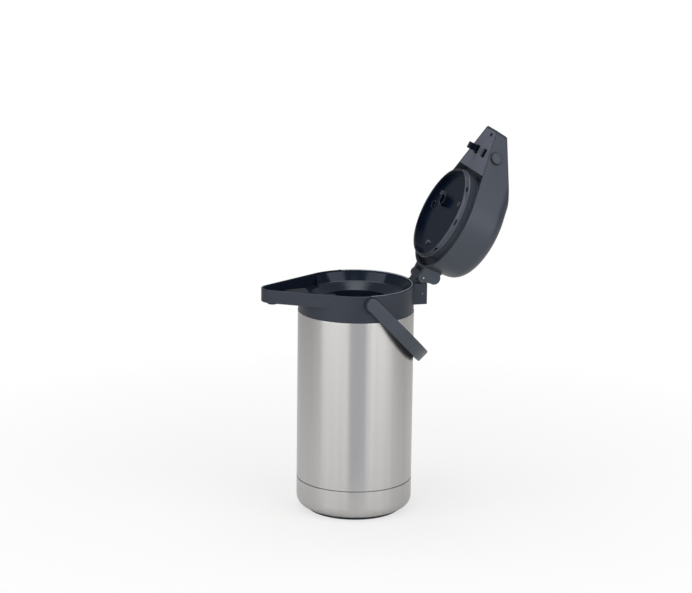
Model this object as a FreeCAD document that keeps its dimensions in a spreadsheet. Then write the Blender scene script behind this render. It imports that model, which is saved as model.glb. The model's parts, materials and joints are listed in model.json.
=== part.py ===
"""Pump pot for hot drinks: steel vacuum body, pouring collar, hinged pump lid and swing handle.

Millimetres, +Z up. The origin is on the pot's axis on the surface it stands on, the spout points
to -Y and the lid's hinge is at the back, +Y. The lid is drawn closed and the handle upright, and
each is then turned about its own axis into the pose that the pot is stored in: lid thrown open,
handle hanging behind the body.
"""
import FreeCAD, Part
import math
import os
import Sketcher

V = FreeCAD.Vector
doc = FreeCAD.newDocument("pump_pot")
sheet = doc.addObject("Spreadsheet::Sheet", "Dims")


class Dim:
    """A driving dimension: its number and the expression that the document keeps for it."""

    def __init__(self, value, text):
        self.value = float(value)
        self.text = text

    @staticmethod
    def of(other):
        return other if isinstance(other, Dim) else Dim(other, repr(float(other)))

    def joined(self, sign, other, value):
        return Dim(value, "(%s %s %s)" % (self.text, sign, Dim.of(other).text))

    def __add__(self, other):
        return self.joined("+", other, self.value + Dim.of(other).value)

    def __sub__(self, other):
        return self.joined("-", other, self.value - Dim.of(other).value)

    def __mul__(self, other):
        return self.joined("*", other, self.value * Dim.of(other).value)

    def __neg__(self):
        return Dim(-self.value, "(-1 * %s)" % self.text)


def dimension(alias, value):
    """Puts one named number into the sheet and hands it back as a Dim."""
    cell = "B%d" % (dimension.row)
    sheet.set("A%d" % dimension.row, alias)
    sheet.set(cell, str(value))
    sheet.setAlias(cell, alias)
    dimension.row += 1
    return Dim(value, "Dims." + alias)


dimension.row = 1

# Body of the pot
body_r = dimension("body_radius", 78)
steel = dimension("steel_wall", 1.2)
foot_r = dimension("foot_radius", 64)
foot_h = dimension("foot_height", 4)
corner_r = dimension("base_corner_radius", 14)
seam_z = dimension("seam_height", 44)
shell_z = dimension("shell_top", 276.5)
rim_z = dimension("rim_height", 312.8)
jacket_r = dimension("jacket_radius", 74)
liner_r = dimension("liner_radius", 69.5)
neck_r = dimension("neck_radius", 46.5)
sheet_t = dimension("liner_wall", 1)

# Collar with its pouring nose
collar_r = dimension("collar_radius", 77.6)
nose_y = dimension("nose_centre", 111.5)
nose_r = dimension("nose_radius", 19)
nose_h = dimension("nose_depth", 17.5)
floor_h = dimension("trough_depth", 15)
mouth_r = dimension("mouth_radius", 45)
nozzle_y = dimension("nozzle_distance", 115.5)
nozzle_r = dimension("nozzle_radius", 7.4)

# Pouring path
pipe_r = dimension("spout_pipe_radius", 4)
pipe_bore = dimension("spout_pipe_bore", 2.9)
bend = dimension("pipe_bend", 6)
stem_y = dimension("stem_distance", 35)
stem_r = dimension("stem_radius", 5)

# Hinge and handle
hinge_y = dimension("hinge_back", 88.5)
hinge_up = dimension("hinge_above_rim", 6.4)
pin_r = dimension("hinge_pin_radius", 2.5)
knuckle_w = dimension("knuckle_width", 22.4)
ear_w = dimension("ear_width", 7.5)
open_deg = dimension("lid_open_angle", 118)
pivot_z = dimension("handle_pivot_height", 302)
arm_w = dimension("handle_width", 18)
arm_t = dimension("handle_thickness", 6)
arm_in = dimension("handle_inside", 80.6)
arm_run = dimension("handle_straight_run", 43)
peg_r = dimension("handle_peg_radius", 5)
hang_deg = dimension("handle_hang_angle", 45.8)

# Lid and pump
lid_gap = dimension("lid_gap", 1)
lid_r = dimension("lid_radius", 77.5)
lid_h = dimension("lid_height", 55.5)
lid_taper = dimension("lid_taper", 5.5)
lid_corner_x = dimension("lid_corner_side", 17)
lid_corner_y = dimension("lid_corner_front", 125.5)
lid_corner_r = dimension("lid_corner_radius", 6)
lid_round = dimension("lid_top_rounding", 19)
lid_wall = dimension("lid_wall", 3)
plug_r = dimension("plug_radius", 63.5)
plug_d = dimension("plug_depth", 11.5)
plug_well = dimension("plug_well_edge", 70)
air_x = dimension("air_tube_side", 12)
air_y = dimension("air_tube_front", 16)
button_r = dimension("button_radius", 46)
latch_r = dimension("latch_button_radius", 7.6)
doc.recompute()


def origin_plane(body, role):
    return next(f for f in body.Origin.OriginFeatures if f.Role == role)


def new_body(label):
    body = doc.addObject("PartDesign::Body", label)
    body.Label = label
    return body


def bind(obj, prop, dim):
    """Sets a property from a Dim, or from a plain number where no cell drives it."""
    dim = Dim.of(dim)
    if "Dims" in dim.text:
        obj.setExpression(prop, dim.text)
    else:
        setattr(obj, prop, dim.value)


def new_sketch(body, name, role, offset=0.0):
    """A sketch on one of the body's own planes, moved along that plane's normal by offset."""
    sketch = body.newObject("Sketcher::SketchObject", name)
    sketch.AttachmentSupport = [(origin_plane(body, role), "")]
    sketch.MapMode = "FlatFace"
    offset = Dim.of(offset)
    sketch.AttachmentOffset = FreeCAD.Placement(V(0, 0, offset.value), FreeCAD.Rotation())
    if "Dims" in offset.text:
        sketch.setExpression("AttachmentOffset.Base.z", offset.text)
    return sketch


def constrain(sketch, kind, *args):
    """Adds a constraint whose last argument is a Dim and ties it to the sheet."""
    dim = Dim.of(args[-1])
    index = sketch.addConstraint(Sketcher.Constraint(kind, *args[:-1], dim.value))
    if "Dims" in dim.text:
        sketch.setExpression("Constraints[%d]" % index, dim.text)


def pin_point(sketch, geo, pos, point):
    """Holds one end of a line or arc, or a centre, at its two distances from the origin."""
    for kind, axis, dim in (("DistanceX", -2, point[0]), ("DistanceY", -1, point[1])):
        if Dim.of(dim).value == 0.0:
            sketch.addConstraint(Sketcher.Constraint("PointOnObject", geo, pos, axis))
        else:
            constrain(sketch, kind, -1, 1, geo, pos, dim)


def flat(point):
    return V(Dim.of(point[0]).value, Dim.of(point[1]).value, 0)


def arc_between(start, end, radius, side):
    """The shorter arc from start to end whose centre lies to the left (side 1) or right (-1)."""
    chord = end - start
    middle = (start + end) * 0.5
    across = V(-chord.y, chord.x, 0).normalize()
    reach = math.sqrt(max(radius ** 2 - (chord.Length / 2) ** 2, 0.0))
    centre = middle + across * (side * reach)
    a0 = math.atan2(start.y - centre.y, start.x - centre.x)
    a1 = math.atan2(end.y - centre.y, end.x - centre.x)
    first, last = (a0, a1) if side > 0 else (a1, a0)
    return Part.ArcOfCircle(Part.Circle(centre, V(0, 0, 1), radius), first, last)


def outline(sketch, points, closed=True):
    """Draws a chain of lines and arcs. An arc's entry is (u, v, radius, side) at its far end."""
    count = len(points)
    ends = []
    for i in range(count if closed else count - 1):
        start = points[i]
        end = points[(i + 1) % count]
        if len(end) == 4:
            radius = Dim.of(end[2])
            geo = sketch.addGeometry(arc_between(flat(start), flat(end), radius.value, end[3]))
            constrain(sketch, "Radius", geo, radius)
            ends.append((geo, 1, 2) if end[3] > 0 else (geo, 2, 1))
        else:
            geo = sketch.addGeometry(Part.LineSegment(flat(start), flat(end)))
            ends.append((geo, 1, 2))
    for i, (geo, start_pos, end_pos) in enumerate(ends):
        pin_point(sketch, geo, start_pos, points[i])
        if closed or i + 1 < len(ends):
            other = ends[(i + 1) % len(ends)]
            sketch.addConstraint(Sketcher.Constraint("Coincident", geo, end_pos, other[0], other[1]))
    if not closed:
        pin_point(sketch, ends[-1][0], ends[-1][2], points[-1])


def circle(sketch, centre, radius):
    geo = sketch.addGeometry(Part.Circle(flat(centre), V(0, 0, 1), Dim.of(radius).value))
    constrain(sketch, "Radius", geo, radius)
    pin_point(sketch, geo, 3, centre)


def rectangle(sketch, low, high):
    outline(sketch, [low, (high[0], low[1]), high, (low[0], high[1])])


def tangent_ends(big, centre, small):
    """Where the outer tangent of a circle at the origin and a smaller one touches each, on +X."""
    reach = math.hypot(*centre)
    lean = math.atan2(centre[1], centre[0]) + math.acos((big - small) / reach)
    way = V(math.cos(lean), math.sin(lean), 0)
    return way * big, V(centre[0], centre[1], 0) + way * small


def teardrop(sketch, radius, corner_x, corner_y, corner):
    """A round outline drawn out to a nose at -Y, with one tip arc or two corner arcs."""
    radius, corner_x, corner_y, corner = (Dim.of(d) for d in (radius, corner_x, corner_y, corner))
    touch, tip = tangent_ends(radius.value, (corner_x.value, -corner_y.value), corner.value)
    mirror = lambda p: V(-p.x, p.y, 0)
    big = sketch.addGeometry(Part.ArcOfCircle(
        Part.Circle(V(), V(0, 0, 1), radius.value),
        math.atan2(touch.y, touch.x), math.pi - math.atan2(touch.y, touch.x)))
    left = sketch.addGeometry(Part.LineSegment(mirror(touch), mirror(tip)))
    lean = math.atan2(touch.y, touch.x)
    down = -math.pi / 2
    if corner_x.value == 0.0:
        arcs = [(0.0, -math.pi - lean, lean)]
    else:
        arcs = [(-1.0, -math.pi - lean, down), (1.0, down, lean)]
    chain = [(big, 1, 2), (left, 1, 2)]
    corners = []
    for side, first, last in arcs:
        centre = V(side * corner_x.value, -corner_y.value, 0)
        geo = sketch.addGeometry(Part.ArcOfCircle(
            Part.Circle(centre, V(0, 0, 1), corner.value), first, last))
        corners.append((geo, side))
        chain.append((geo, 1, 2))
        if side < 0:
            foot = centre - V(0, corner.value, 0)
            chain.append((sketch.addGeometry(Part.LineSegment(foot, mirror(foot))), 1, 2))
    chain.append((sketch.addGeometry(Part.LineSegment(tip, touch)), 1, 2))
    for i, (geo, start_pos, end_pos) in enumerate(chain):
        other = chain[(i + 1) % len(chain)]
        sketch.addConstraint(Sketcher.Constraint("Tangent", geo, end_pos, other[0], other[1]))
    sketch.addConstraint(Sketcher.Constraint("Coincident", big, 3, -1, 1))
    constrain(sketch, "Radius", big, radius)
    for geo, side in corners:
        constrain(sketch, "Radius", geo, corner)
        pin_point(sketch, geo, 3, (corner_x * side, -corner_y))


def pad(body, sketch, length, midplane=False, reverse=False, taper=None):
    feature = body.newObject("PartDesign::Pad", sketch.Name + "_pad")
    feature.Profile = sketch
    bind(feature, "Length", length)
    feature.Midplane = midplane
    feature.Reversed = reverse
    if taper is not None:
        bind(feature, "TaperAngle", -taper)
    doc.recompute()
    if "Up-to-date" not in feature.State:
        raise RuntimeError("no pad from " + sketch.Name)
    return feature


def pocket(body, sketch, length, midplane=False, reverse=False):
    """Cuts a sketch out of the body, and stops the build if that takes nothing away."""
    before = body.Shape.Volume
    feature = body.newObject("PartDesign::Pocket", sketch.Name + "_cut")
    feature.Profile = sketch
    bind(feature, "Length", length)
    feature.Midplane = midplane
    feature.Reversed = reverse
    doc.recompute()
    if body.Shape.Volume > before - 0.5:
        raise RuntimeError("nothing cut by " + feature.Name)
    return feature


def revolve(body, sketch, kind="PartDesign::Revolution"):
    before = body.Shape.Volume if kind.endswith("Groove") else None
    feature = body.newObject(kind, sketch.Name + "_turned")
    feature.Profile = sketch
    feature.ReferenceAxis = (sketch, ["V_Axis"])
    feature.Angle = 360
    doc.recompute()
    if before is not None and body.Shape.Volume > before - 0.5:
        raise RuntimeError("nothing cut by " + feature.Name)
    return feature


def turned(label, points):
    """A sub-part turned about the pot's axis from its profile of (radius, height) points."""
    body = new_body(label)
    sketch = new_sketch(body, label + "_profile", "XZ_Plane")
    outline(sketch, points)
    revolve(body, sketch)
    return body


def round_edges(body, name, radius, wanted):
    """Rounds the body's edges that the wanted test picks."""
    tip = body.Tip
    names = ["Edge%d" % (i + 1) for i, e in enumerate(tip.Shape.Edges) if wanted(e)]
    if not names:
        raise RuntimeError("no edges to round for " + name)
    feature = body.newObject("PartDesign::Fillet", name)
    feature.Base = (tip, names)
    bind(feature, "Radius", radius)
    doc.recompute()
    if "Up-to-date" not in feature.State:
        raise RuntimeError("edges not rounded: " + name)
    return feature


def at_height(edge, height):
    return all(abs(v.Point.z - height) < 0.02 for v in edge.Vertexes)


# Standing parts of the body, from the floor up

turned("foot_disc", [
    (0, 0), (foot_r - 1.5, 0), (foot_r, 1.5, 1.5, 1), (foot_r, foot_h), (0, foot_h)])

turned("base_cup", [
    (0, foot_h), (body_r - corner_r, foot_h), (body_r, foot_h + corner_r, corner_r, 1),
    (body_r, seam_z - 0.7), (body_r - 0.5, seam_z - 0.3), (body_r - steel, seam_z - 0.3),
    (body_r - steel, foot_h + corner_r),
    (body_r - corner_r, foot_h + steel, corner_r - steel, -1), (0, foot_h + steel)])

turned("seam_ring", [
    (body_r - steel - 1.4, seam_z - 5), (body_r - steel, seam_z - 5),
    (body_r - steel, seam_z - 0.3), (body_r - 0.7, seam_z - 0.3), (body_r - 0.7, seam_z + 0.3),
    (body_r - steel, seam_z + 0.3), (body_r - steel, seam_z + 5),
    (body_r - steel - 1.4, seam_z + 5)])

turned("outer_shell", [
    (body_r - steel, seam_z + 0.3), (body_r - 0.5, seam_z + 0.3), (body_r, seam_z + 0.7),
    (body_r, shell_z - 1), (body_r - 0.6, shell_z, 1, 1), (body_r - steel, shell_z)])

turned("vacuum_jacket", [
    (0, 15), (jacket_r - 12, 15), (jacket_r, 27, 12, 1), (jacket_r, rim_z - 58),
    (jacket_r - 8, rim_z - 46, 16, 1), (neck_r + 6, rim_z - 38), (neck_r + 6, rim_z - 27.2),
    (neck_r + 5, rim_z - 27.2), (neck_r + 5, rim_z - 38.8), (jacket_r - 9, rim_z - 47.2),
    (jacket_r - sheet_t, rim_z - 58, 16, -1), (jacket_r - sheet_t, 27),
    (jacket_r - 12, 16, 11, -1), (0, 16)])

weld_z = rim_z - 64
turned("liner", [
    (0, 49), (liner_r - 14, 49), (liner_r, 63, 14, 1), (liner_r, weld_z),
    (liner_r - sheet_t, weld_z), (liner_r - sheet_t, 63), (liner_r - 14, 50, 13, -1), (0, 50)])
turned("liner_neck", [
    (liner_r, weld_z), (liner_r - 8, rim_z - 51, 18, 1), (neck_r + 1, rim_z - 42),
    (neck_r + 1, rim_z - 27.2), (neck_r + 6, rim_z - 27.2), (neck_r + 6, rim_z - 26),
    (neck_r, rim_z - 26), (neck_r, rim_z - 42.8), (liner_r - 9, rim_z - 52.2),
    (liner_r - sheet_t, weld_z, 18, -1)])

turned("liner_cushion", [
    (22, foot_h + steel), (52, foot_h + steel), (52, 15), (22, 15)])

turned("mouth_gasket", [
    (neck_r, rim_z - 26), (neck_r + 6, rim_z - 26), (neck_r + 6, rim_z - 23.5),
    (neck_r, rim_z - 23.5)])


# Collar: turned skirt and funnel, nose, hinge bracket, seats for the handle and the spout

def funnel_inside(top):
    """The hollow of the funnel, from a level above the rim down through the mouth."""
    return [
        (0, rim_z + top), (collar_r - 2.6, rim_z + top), (collar_r - 2.6, rim_z - 2),
        (collar_r - 4.4, rim_z - 2), (collar_r - 11, rim_z - 13), (mouth_r, rim_z - 21),
        (mouth_r, rim_z - 41), (0, rim_z - 41)]


collar = new_body("collar")
ring = new_sketch(collar, "collar_ring", "XZ_Plane")
outline(ring, [
    (body_r - 3.4, shell_z - 8), (body_r - 1.5, shell_z - 8), (body_r - 1.5, shell_z + 0.3),
    (collar_r, shell_z + 0.3), (collar_r, rim_z - 0.8), (collar_r - 0.8, rim_z, 0.8, 1),
    (collar_r - 2.6, rim_z), (collar_r - 2.6, rim_z - 2), (collar_r - 4.4, rim_z - 2),
    (collar_r - 11, rim_z - 13), (mouth_r, rim_z - 21), (mouth_r, rim_z - 40),
    (mouth_r + 1.2, rim_z - 40), (mouth_r + 1.2, rim_z - 23.5), (mouth_r + 11, rim_z - 23.5),
    (mouth_r + 21, rim_z - 17.5), (body_r - 3.4, rim_z - 17.5)])
revolve(collar, ring)

nose = new_sketch(collar, "collar_nose", "XY_Plane", rim_z - nose_h)
teardrop(nose, collar_r, 0, nose_y, nose_r)
pad(collar, nose, nose_h)
round_edges(collar, "collar_nose_rounding", 0.8, lambda e: at_height(e, rim_z.value)
            and e.BoundBox.YMin < -60)
hollow = new_sketch(collar, "collar_funnel", "XZ_Plane")
outline(hollow, funnel_inside(1))
revolve(collar, hollow, "PartDesign::Groove")


def trough(name, wall, depth):
    """The open channel in the nose, up to where it runs into the round funnel."""
    sketch = new_sketch(collar, name, "XY_Plane", rim_z)
    inner = collar_r - wall
    tip_r = nose_r - wall
    touch, tip = tangent_ends(inner.value, (0.0, -nose_y.value), tip_r.value)
    sin_touch = touch.x / inner.value
    cos_touch = touch.y / inner.value
    left = (-(inner * sin_touch), inner * cos_touch)
    right = (inner * sin_touch, inner * cos_touch)
    tip_left = (-(tip_r * sin_touch), tip_r * cos_touch - nose_y)
    tip_right = (tip_r * sin_touch, tip_r * cos_touch - nose_y, tip_r, 1)
    outline(sketch, [left, tip_left, tip_right, right])
    return pocket(collar, sketch, depth)


trough("collar_lip_step", 2.6, 2)
trough("collar_trough", 4.4, floor_h)

bracket = new_sketch(collar, "hinge_bracket", "XY_Plane", rim_z - 30)
rectangle(bracket, (-18, body_r - 5), (18, hinge_y + 5.5))
pad(collar, bracket, 28.6)
knuckle = new_sketch(collar, "hinge_knuckle", "YZ_Plane")
outline(knuckle, [
    (body_r - 3, rim_z - 8), (hinge_y + 5.5, rim_z - 8), (hinge_y + 7, rim_z + hinge_up),
    (hinge_y, rim_z + hinge_up + 7, 7, 1), (hinge_y - 7, rim_z + hinge_up, 7, 1),
    (collar_r - 1, rim_z - 1)])
pad(collar, knuckle, knuckle_w, midplane=True)
pin_hole = new_sketch(collar, "hinge_pin_hole", "YZ_Plane")
circle(pin_hole, (hinge_y, rim_z + hinge_up), pin_r)
pocket(collar, pin_hole, 60, midplane=True)
for side, reverse in (("right", True), ("left", False)):
    seat_x = 74.5 if side == "right" else -74.5
    seat = new_sketch(collar, "handle_seat_" + side, "YZ_Plane", seat_x)
    circle(seat, (0, pivot_z), 8.5)
    pocket(collar, seat, 10, reverse=reverse)
    dish_x = 76.2 if side == "right" else -76.2
    dish = new_sketch(collar, "handle_dish_" + side, "YZ_Plane", dish_x)
    circle(dish, (-1, pivot_z - 1), 11)
    pocket(collar, dish, 10, reverse=reverse)
outlet = new_sketch(collar, "nozzle_hole", "XY_Plane", rim_z - floor_h)
circle(outlet, (0, -nozzle_y), nozzle_r)
pocket(collar, outlet, 10)


# Pouring path: stem down into the liner, elbow, pipe out through the nose, nozzle under its tip

def pipe_path(body, name):
    """The pipe's centre line: under the plug, up 45 degrees, along the nose and down at its tip."""
    path = new_sketch(body, name, "YZ_Plane")
    low = rim_z - 19.5
    high = rim_z - 9.5
    foot = stem_y + 26
    top = foot + 10
    cut = bend * 0.414214
    lean = bend * 0.292893
    outline(path, [
        (-stem_y, low), (-(foot - cut), low), (-(foot + lean), low + lean, bend, -1),
        (-(top - lean), high - lean), (-(top + cut), high, bend, 1),
        (-(nozzle_y - bend), high), (-nozzle_y, high - bend, bend, 1),
        (-nozzle_y, rim_z - 16.5)], closed=False)
    return path


def pipe_feature(body, name, kind, radius, path):
    ring = new_sketch(body, name + "_section", "XZ_Plane", stem_y)
    circle(ring, (0, rim_z - 19.5), radius)
    feature = body.newObject(kind, name)
    feature.Profile = ring
    feature.Spine = (path, ["Edge%d" % (i + 1) for i in range(path.GeometryCount)])
    doc.recompute()
    return feature


channel = new_sketch(collar, "pipe_channel", "XZ_Plane", stem_y)
circle(channel, (0, rim_z - 19.5), pipe_r + 0.1)
pocket(collar, channel, 34, reverse=True)

spout = new_body("spout_tube")
route = pipe_path(spout, "spout_route")
pipe_feature(spout, "spout_outside", "PartDesign::AdditivePipe", pipe_r, route)
pipe_feature(spout, "spout_bore", "PartDesign::SubtractivePipe", pipe_bore, route)

nozzle = new_body("spout_nozzle")
lip = new_sketch(nozzle, "nozzle_body", "XY_Plane", rim_z - nose_h - 4.5)
circle(lip, (0, -nozzle_y), nozzle_r)
pad(nozzle, lip, nose_h - floor_h + 4.5)
round_edges(nozzle, "nozzle_lip", 1.8, lambda e: at_height(e, (rim_z - nose_h - 4.5).value))
drip = new_sketch(nozzle, "nozzle_bore", "XY_Plane", rim_z)
circle(drip, (0, -nozzle_y), pipe_r)
pocket(nozzle, drip, 40)

head = new_body("stem_head")
block = new_sketch(head, "stem_block", "XY_Plane", rim_z - 30)
circle(block, (0, -stem_y), stem_r + 2.8)
pad(head, block, 15.5)
round_edges(head, "stem_head_top", 1.5, lambda e: at_height(e, (rim_z - 14.5).value))
socket = new_sketch(head, "stem_socket", "XY_Plane", rim_z - 30)
circle(socket, (0, -stem_y), stem_r)
pocket(head, socket, 6, reverse=True)
side_port = new_sketch(head, "stem_port", "XZ_Plane", stem_y)
circle(side_port, (0, rim_z - 19.5), pipe_r)
pocket(head, side_port, 12, reverse=True)
rise = new_sketch(head, "stem_rise", "XY_Plane", rim_z - 25)
circle(rise, (0, -stem_y), pipe_bore)
pocket(head, rise, 5, reverse=True)

stem = new_body("stem_tube")
tube = new_sketch(stem, "stem_section", "XY_Plane", 56)
circle(tube, (0, -stem_y), stem_r)
circle(tube, (0, -stem_y), stem_r - 0.8)
pad(stem, tube, rim_z - 24 - 56)

hinge_pin = doc.addObject("Part::Cylinder", "hinge_pin")
bind(hinge_pin, "Radius", pin_r)
bind(hinge_pin, "Height", knuckle_w + ear_w * 2 + 0.8)
hinge_pin.Placement = FreeCAD.Placement(V(), FreeCAD.Rotation(V(0, 1, 0), 90))
hinge_pin.setExpression("Placement.Base.x", "-Height / 2")
hinge_pin.setExpression("Placement.Base.y", hinge_y.text)
hinge_pin.setExpression("Placement.Base.z", (rim_z + hinge_up).text)

bushings = []
for side, sign in (("right", 1), ("left", -1)):
    disc = doc.addObject("Part::Cylinder", "bushing_disc_" + side)
    disc.Radius = 8.5
    bind(disc, "Height", arm_in - 0.3 - 74.5)
    bore = doc.addObject("Part::Cylinder", "bushing_bore_" + side)
    bind(bore, "Radius", peg_r + 0.05)
    bore.Height = 40
    for tool, start in ((disc, 74.5), (bore, 75.2)):
        turn = FreeCAD.Rotation(V(0, 1, 0), 90 * sign)
        tool.Placement = FreeCAD.Placement(V(sign * start, 0, 0), turn)
        tool.setExpression("Placement.Base.z", pivot_z.text)
    cut = doc.addObject("Part::Cut", "bushing_" + side)
    cut.Base = disc
    cut.Tool = bore
    bushings.append(cut)
pair = doc.addObject("Part::Compound", "pivot_bushings")
pair.Label = "pivot_bushings"
pair.Links = bushings
doc.recompute()


# Swing handle: a flat strap bent into an arch, drawn upright over the lid

handle = new_body("handle")
arch = new_sketch(handle, "handle_arch", "XZ_Plane")
arm_out = arm_in + arm_t
spring_z = pivot_z + arm_run
outline(arch, [
    (-arm_out, pivot_z - 9), (-arm_in, pivot_z - 9), (-arm_in, spring_z),
    (0, spring_z + arm_in, arm_in, -1), (arm_in, spring_z, arm_in, -1),
    (arm_in, pivot_z - 9), (arm_out, pivot_z - 9), (arm_out, spring_z),
    (0, spring_z + arm_out, arm_out, 1), (-arm_out, spring_z, arm_out, 1)])
pad(handle, arch, arm_w, midplane=True)
round_edges(handle, "handle_ends", 8.9, lambda e: e.Length < arm_t.value + 0.1
            and at_height(e, pivot_z.value - 9) and abs(e.BoundBox.XLength - arm_t.value) < 0.1)
round_edges(handle, "handle_edges", 1.6, lambda e: e.BoundBox.YLength < 0.1
            and e.BoundBox.ZMax > pivot_z.value + 60
            and max(abs(e.BoundBox.XMin), abs(e.BoundBox.XMax)) > arm_out.value - 0.1)
for side, reverse in (("right", True), ("left", False)):
    start_x = arm_in if side == "right" else -arm_in
    peg = new_sketch(handle, "handle_peg_" + side, "YZ_Plane", start_x)
    circle(peg, (0, pivot_z), peg_r)
    pad(handle, peg, 4.9, reverse=reverse)


# Lid, drawn closed: outer form with hinge ears, less the core that leaves its walls

lid_z = rim_z + lid_gap


def lid_form(body, name, inset, height, lift):
    """Tapered drum with a nose whose top slopes down to the front."""
    base = new_sketch(body, name + "_outline", "XY_Plane", lid_z)
    teardrop(base, lid_r - inset, lid_corner_x, lid_corner_y, lid_corner_r - inset * 0.9)
    pad(body, base, height, taper=lid_taper)
    slope = new_sketch(body, name + "_slope", "YZ_Plane")
    front = -(lid_corner_y + lid_corner_r + 8)
    outline(slope, [
        (front, lid_z + 13.5 - lift), (-44, lid_z + lid_h - lift), (-44, lid_z + lid_h + 20),
        (front, lid_z + lid_h + 20)])
    pocket(body, slope, 200, midplane=True)


lid_outer = new_body("lid_outer")
lid_form(lid_outer, "lid_outer", Dim.of(0), lid_h, 0)
lid_top = (lid_z + lid_h).value
round_edges(lid_outer, "lid_top_rounding", lid_round,
            lambda e: at_height(e, lid_top) and e.BoundBox.YMax > 0)
round_edges(lid_outer, "lid_nose_rounding", 3,
            lambda e: e.BoundBox.ZMin > lid_z.value + 8 and e.BoundBox.YMax < -43)
for side, start in (("right", knuckle_w * 0.5 + 0.3), ("left", -(knuckle_w * 0.5 + 0.3 + ear_w))):
    ear = new_sketch(lid_outer, "hinge_ear_" + side, "YZ_Plane", start)
    circle(ear, (hinge_y, rim_z + hinge_up), 7)
    pad(lid_outer, ear, ear_w)
    lug = new_sketch(lid_outer, "hinge_lug_" + side, "YZ_Plane", start)
    circle(lug, (hinge_y - 5.7, rim_z + hinge_up + 14), 8.5)
    pad(lid_outer, lug, ear_w)
    web = new_sketch(lid_outer, "hinge_web_" + side, "YZ_Plane", start)
    outline(web, [
        (lid_r - 7, lid_z + 0.2), (hinge_y - 5.5, lid_z + 0.2), (hinge_y + 5, rim_z + hinge_up),
        (hinge_y + 2.6, rim_z + hinge_up + 14), (lid_r - 9, lid_z + 28)])
    pad(lid_outer, web, ear_w)
    hole = new_sketch(lid_outer, "hinge_hole_" + side, "YZ_Plane", start)
    circle(hole, (hinge_y, rim_z + hinge_up), pin_r + 0.05)
    pocket(lid_outer, hole, ear_w, reverse=True)

lid_core = new_body("lid_core")
lid_form(lid_core, "lid_core", lid_wall, lid_h - 13, 4)
well = new_sketch(lid_core, "button_well", "XY_Plane", lid_z + 30)
circle(well, (0, 0), button_r + 0.8)
pad(lid_core, well, 60)

# The round latch button stands square to the lid's right-hand nose wall
latch_at = V(36.6, -98.5, lid_z.value + 10.6)
latch_turn = math.radians(-27.0)
latch_way = V(math.cos(latch_turn), math.sin(latch_turn), 0)
latch_face = FreeCAD.Rotation(V(0, 0, 1), latch_way)


def latch_cylinder(name, radius, start, length):
    """A cylinder along the latch button's line, start millimetres out from the nose wall."""
    tool = doc.addObject("Part::Cylinder", name)
    bind(tool, "Radius", radius)
    tool.Height = length
    tool.Placement = FreeCAD.Placement(latch_at + latch_way * start, latch_face)
    return tool


latch_hole = latch_cylinder("latch_hole", latch_r + 0.4, -5, 12)
core_all = doc.addObject("Part::Fuse", "lid_core_all")
core_all.Base = lid_core
core_all.Tool = latch_hole
lid_shell = doc.addObject("Part::Cut", "lid_shell")
lid_shell.Base = lid_outer
lid_shell.Tool = core_all
doc.recompute()

base_inset = lid_wall + 0.1
lid_base = new_body("lid_base")
plate = new_sketch(lid_base, "lid_base_outline", "XY_Plane", lid_z)
teardrop(plate, lid_r - base_inset, lid_corner_x, lid_corner_y, lid_corner_r - base_inset * 0.9)
pad(lid_base, plate, 2.5, taper=lid_taper)
openings = new_sketch(lid_base, "latch_openings", "XY_Plane", lid_z)
rectangle(openings, (-lid_r, -plug_well), (lid_r, lid_r + 5))
rectangle(openings, (6, -103), (20, -91))
rectangle(openings, (-23, -102.8), (-8.8, -91))
rectangle(openings, (2, -125.5), (11, -121))
pocket(lid_base, openings, 5, reverse=True)

plug_z = rim_z - plug_d
flange_z = lid_z + 7
flange_r = lid_r - 4
turned("plug_cup", [
    (0, plug_z + 7), (plug_r - 3, plug_z + 7),
    (plug_r - 3, plug_z + 0.8), (plug_r - 2.2, plug_z), (plug_r - 0.8, plug_z),
    (plug_r, plug_z + 0.8), (plug_r, flange_z), (flange_r, flange_z),
    (flange_r, flange_z + 2), (plug_r - 3, flange_z + 2), (plug_r - 3, plug_z + 9.5),
    (0, plug_z + 9.5)])
plug = doc.getObject("plug_cup")
tube_wall = new_sketch(plug, "air_tube", "XY_Plane", plug_z + 1)
circle(tube_wall, (-air_x, -air_y), 9)
pad(plug, tube_wall, 7)
vent = new_sketch(plug, "plug_vents", "XY_Plane", plug_z)
circle(vent, (-air_x, -air_y), 6.5)
circle(vent, (-air_x - 36, -air_y + 13), 4.5)
pocket(plug, vent, 20, reverse=True)
slot = new_sketch(plug, "plug_wall_slot", "XZ_Plane", plug_r - 1.2)
rectangle(slot, (-4, plug_z + 2), (4, plug_z + 4.6))
first_slot = pocket(plug, slot, 20, reverse=True)
around = plug.newObject("PartDesign::PolarPattern", "plug_wall_slots")
around.Originals = [first_slot]
around.Axis = (vent, ["N_Axis"])
around.Angle = 360
around.Occurrences = 8
plug.Tip = around
doc.recompute()

turned("plug_gasket", [
    (plug_r, rim_z - 6), (plug_r + 0.9, rim_z - 6), (plug_r + 1.5, rim_z - 4.6),
    (plug_r + 0.9, rim_z - 3.2), (plug_r, rim_z - 3.2)])
flap = new_body("air_valve")
flap_disc = new_sketch(flap, "flap_disc", "XY_Plane", plug_z + 9.5)
circle(flap_disc, (-air_x, -air_y), 9)
pad(flap, flap_disc, 1.2)

screws = []
for number in range(3):
    turn = math.radians(90 + 120 * number)
    screw = doc.addObject("Part::Cylinder", "plug_screw_%d" % (number + 1))
    screw.Radius = 3.2
    screw.Height = 2
    screw.Placement.Base = V(44 * math.cos(turn), 44 * math.sin(turn), 0)
    screw.setExpression("Placement.Base.z", (plug_z + 5).text)
    screws.append(screw)
screw_set = doc.addObject("Part::Compound", "plug_screws")
screw_set.Links = screws

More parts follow.
